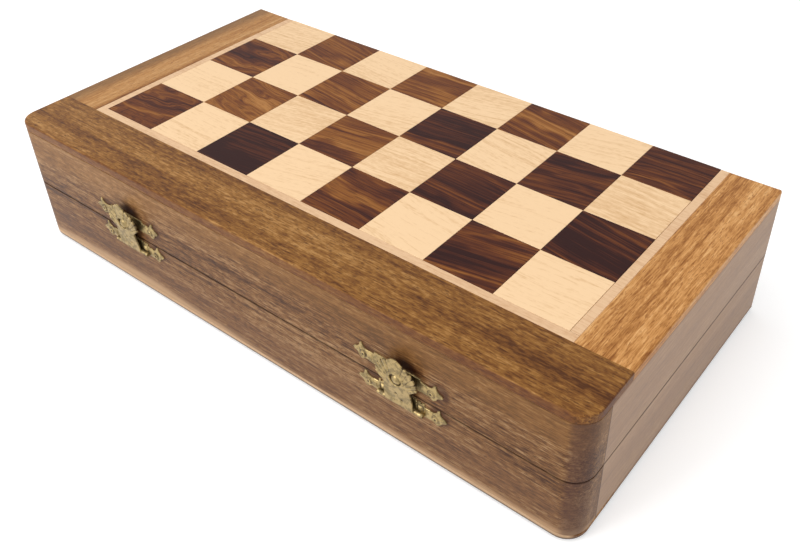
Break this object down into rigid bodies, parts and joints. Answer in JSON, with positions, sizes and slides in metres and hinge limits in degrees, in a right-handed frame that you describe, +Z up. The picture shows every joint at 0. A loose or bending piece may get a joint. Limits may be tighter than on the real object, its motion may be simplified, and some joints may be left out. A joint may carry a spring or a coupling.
{
  "type": "folding chess set",
  "caption": "Shallow wooden box whose hinged halves open flat into a chess board, shut by brass flap latches, with turned chessmen in felt-covered slots inside.",
  "frame": {"origin": "middle of the case's underside, on which the closed set stands", "axes": "+X along the case to the right as its latches are seen, +Y from the latches to the hinges, +Z up"},
  "size_m": [0.305, 0.1616, 0.065],
  "materials": {
    "wall_wood": "satin lacquer",
    "rail_wood": "satin lacquer",
    "maple": "satin lacquer",
    "dark_wood": "satin lacquer",
    "plywood": "raw",
    "felt": "felt",
    "hinge_brass": "polished",
    "latch_brass": "antique",
    "light_chessmen": "wax polish",
    "dark_chessmen": "wax polish"
  },
  "bodies": {
    "lower_case": {"lower_front_wall": "wall_wood", "lower_left_wall": "wall_wood", "lower_right_wall": "wall_wood", "lower_back_wall": "wall_wood", "lower_board_base": "plywood", "lower_front_rail": "rail_wood", "lower_left_rail": "rail_wood", "lower_right_rail": "rail_wood", "lower_maple_strips": "maple", "lower_light_squares": "maple", "lower_dark_squares": "dark_wood", "lower_felt_lining": "felt", "lower_slot_bars": "felt", "lower_hinge_leaves": "hinge_brass", "hinge_pins": "hinge_brass", "lower_hinge_screws": "hinge_brass", "left_latch_plate": "latch_brass", "left_latch_pin": "latch_brass", "right_latch_plate": "latch_brass", "right_latch_pin": "latch_brass", "lower_latch_nails": "latch_brass", "light_king": "light_chessmen", "light_queen": "light_chessmen", "light_bishops": "light_chessmen", "light_knights": "light_chessmen", "light_rooks": "light_chessmen", "light_pawns": "light_chessmen", "light_chessman_felts": "felt"},
    "lid": {"lid_front_wall": "wall_wood", "lid_left_wall": "wall_wood", "lid_right_wall": "wall_wood", "lid_back_wall": "wall_wood", "lid_board_base": "plywood", "lid_front_rail": "rail_wood", "lid_left_rail": "rail_wood", "lid_right_rail": "rail_wood", "lid_maple_strips": "maple", "lid_light_squares": "maple", "lid_dark_squares": "dark_wood", "lid_felt_lining": "felt", "lid_slot_bars": "felt", "lid_hinge_leaves": "hinge_brass", "lid_hinge_screws": "hinge_brass", "lid_latch_nails": "latch_brass", "dark_king": "dark_chessmen", "dark_queen": "dark_chessmen", "dark_bishops": "dark_chessmen", "dark_knights": "dark_chessmen", "dark_rooks": "dark_chessmen", "dark_pawns": "dark_chessmen", "dark_chessman_felts": "felt", "left_latch_catch": "latch_brass", "right_latch_catch": "latch_brass"},
    "left_flap": {"left_latch_flap": "latch_brass"},
    "right_flap": {"right_latch_flap": "latch_brass"}
  },
  "joints": [
    {"name": "lid_hinge", "type": "hinge", "parent": "lower_case", "child": "lid", "pos_m": [0, 0.07765, 0.0325], "axis": [-1, 0, 0], "range_deg": [0, 180]},
    {"name": "left_flap_hinge", "type": "hinge", "parent": "lower_case", "child": "left_flap", "pos_m": [-0.0775, -0.07875, 0.026], "axis": [1, 0, 0], "range_deg": [0, 165]},
    {"name": "right_flap_hinge", "type": "hinge", "parent": "lower_case", "child": "right_flap", "pos_m": [0.0775, -0.07875, 0.026], "axis": [1, 0, 0], "range_deg": [0, 165]}
  ]
}
